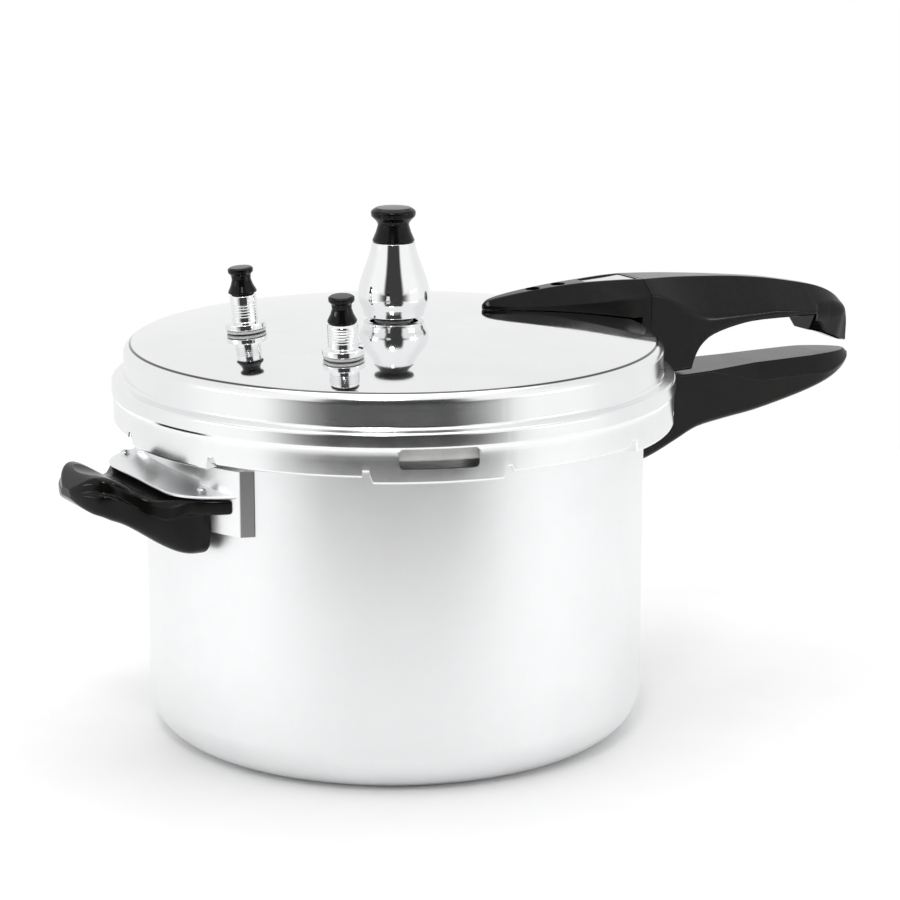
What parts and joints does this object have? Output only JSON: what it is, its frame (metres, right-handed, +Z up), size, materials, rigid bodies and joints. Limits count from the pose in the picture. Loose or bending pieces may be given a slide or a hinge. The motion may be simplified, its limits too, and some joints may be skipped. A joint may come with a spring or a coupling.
{
  "type": "pressure cooker",
  "caption": "Lidded aluminium pressure cooker with bayonet lid, weight regulator, pressure indicator, safety valve and black long and helper handles.",
  "frame": {"origin": "centre of the pot's flat base, on the table", "axes": "+Z up along the pot's axis, +X from the axis along the long handles"},
  "size_m": [0.4407, 0.2698, 0.2519],
  "materials": {
    "satin_aluminium": "satin",
    "polished_aluminium": "polished",
    "chrome": "polished",
    "steel": "satin",
    "brass": "machined",
    "black_bakelite": "glossy",
    "seal_rubber": "matte"
  },
  "bodies": {
    "pot": {"pot_body": "satin_aluminium", "lower_handle_grip": "black_bakelite", "lower_handle_bracket": "steel", "lower_handle_screw": "steel", "lower_handle_rivet_1": "satin_aluminium", "lower_handle_rivet_2": "satin_aluminium", "helper_bracket": "steel", "helper_handle_grip": "black_bakelite", "helper_screw_1": "steel", "helper_screw_2": "steel", "helper_rivet_1": "satin_aluminium", "helper_rivet_2": "satin_aluminium"},
    "lid": {"lid_shell": "polished_aluminium", "lid_gasket": "seal_rubber", "vent_pipe": "chrome", "vent_seal": "seal_rubber", "vent_nut": "steel", "indicator_body": "chrome", "indicator_seal": "seal_rubber", "indicator_nut": "steel", "safety_valve_body": "chrome", "safety_valve_bush": "brass", "safety_valve_spring": "steel", "safety_valve_seal": "seal_rubber", "safety_valve_nut": "steel", "upper_handle_tongue": "black_bakelite", "upper_handle_grip": "black_bakelite", "upper_handle_plate": "steel", "upper_handle_inset": "satin_aluminium", "upper_handle_screw_1": "steel", "upper_handle_screw_2": "steel", "upper_handle_washer_1": "seal_rubber", "upper_handle_washer_2": "seal_rubber", "upper_handle_nut_1": "steel", "upper_handle_nut_2": "steel"},
    "regulator": {"regulator_weight": "chrome", "regulator_knob": "black_bakelite", "regulator_pin": "steel"},
    "indicator": {"indicator_stem": "steel", "indicator_cap": "black_bakelite"},
    "safety_plunger": {"safety_valve_stem": "steel", "safety_valve_cap": "black_bakelite"}
  },
  "joints": [
    {"name": "lid_turn", "type": "hinge", "parent": "pot", "child": "lid", "pos_m": [0, 0, 0.16], "axis": [0, 0, 1], "range_deg": [0, 30]},
    {"name": "regulator_lift", "type": "slide", "parent": "lid", "child": "regulator", "axis": [0, 0, 1], "range_m": [0, 0.03]},
    {"name": "indicator_rise", "type": "slide", "parent": "lid", "child": "indicator", "axis": [-0.0812, 0.0173, 0.9965], "range_m": [0, 0.004]},
    {"name": "safety_valve_lift", "type": "slide", "parent": "lid", "child": "safety_plunger", "axis": [-0.0709, -0.0709, 0.995], "range_m": [0, 0.0024], "stiffness_N_per_m": 1500, "springref_m": -0.002, "deforming": ["safety_valve_spring"]}
  ]
}
